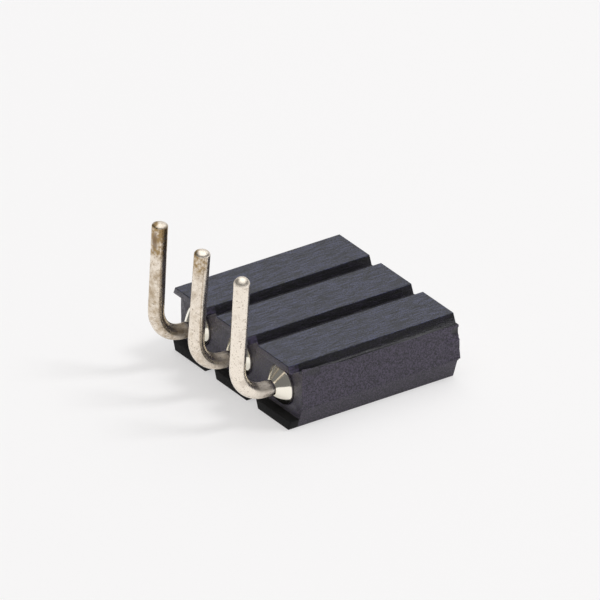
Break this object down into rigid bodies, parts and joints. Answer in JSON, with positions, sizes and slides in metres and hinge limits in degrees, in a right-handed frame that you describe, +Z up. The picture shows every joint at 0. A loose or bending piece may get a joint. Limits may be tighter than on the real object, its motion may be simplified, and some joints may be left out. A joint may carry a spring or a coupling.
{
  "type": "right-angle female pin header",
  "caption": "Right-angle female header for round pins: a single row of turned, plated contacts with bent solder tails in a notched black housing.",
  "frame": {"origin": "on the resting face, halfway along the housing and under the middle contact", "axes": "+X out of the mating face, +Y along the row, +Z up, the way the solder tails point"},
  "size_m": [0.0086, 0.0076, 0.0059],
  "materials": {
    "housing": "moulded black glass-filled polyester, fine streaks along the housing, torn matte ends",
    "terminal_plating": "turned brass with a pale nickel plate, bright on the cones and dulled on the tails",
    "clip_plating": "thin copper-alloy strip, gold plated"
  },
  "bodies": {
    "root": {"housing": "housing", "terminal_1": "terminal_plating", "terminal_2": "terminal_plating", "terminal_3": "terminal_plating", "clip_1": "clip_plating", "clip_2": "clip_plating", "clip_3": "clip_plating"}
  },
  "joints": []
}
